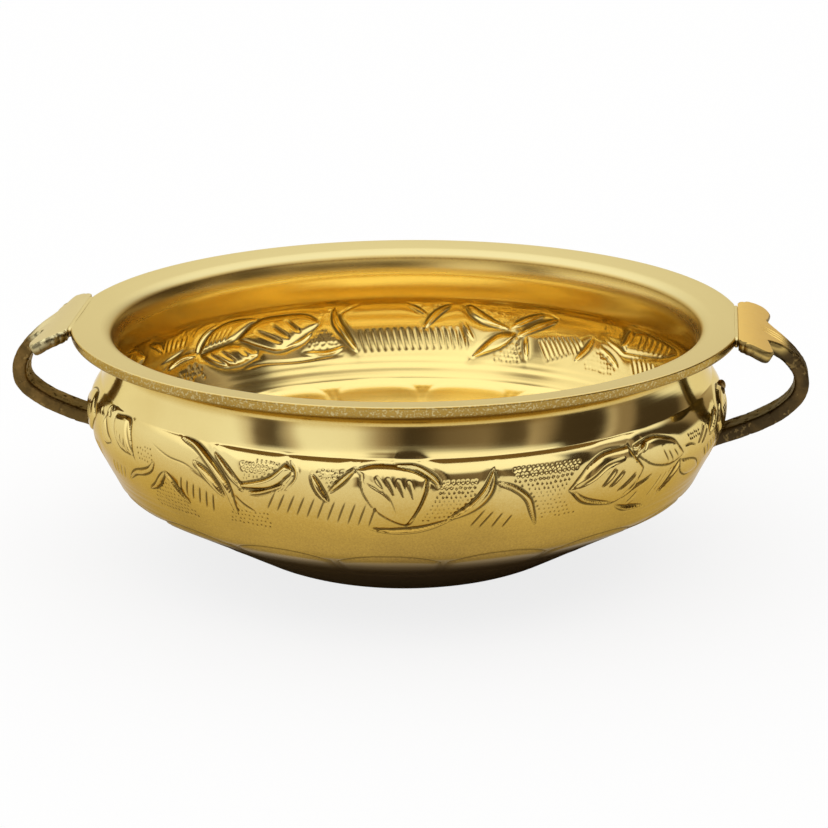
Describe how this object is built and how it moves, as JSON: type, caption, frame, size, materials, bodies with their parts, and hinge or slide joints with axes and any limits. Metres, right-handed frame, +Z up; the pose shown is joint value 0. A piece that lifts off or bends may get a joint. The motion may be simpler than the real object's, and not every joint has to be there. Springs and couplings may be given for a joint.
{
  "type": "urli bowl",
  "caption": "Wide shallow brass ritual bowl with a flat flared lip, chased leaf band, round belly and cast leaf loop handles, resting on a flat base.",
  "frame": {"origin": "middle of the flat base, on the surface the bowl stands on", "axes": "+Z up through the open mouth, +X through the right handle, -Y towards the front"},
  "size_m": [0.3048, 0.254, 0.092],
  "materials": {
    "bowl_brass": "turned and polished",
    "handle_brass": "rough cast, leaf face filed smooth",
    "braze_brass": "dull, as brazed"
  },
  "bodies": {
    "root": {"bowl": "bowl_brass", "right_handle": "handle_brass", "right_rim_braze": "braze_brass", "right_belly_braze": "braze_brass", "left_handle": "handle_brass", "left_rim_braze": "braze_brass", "left_belly_braze": "braze_brass"}
  },
  "joints": []
}
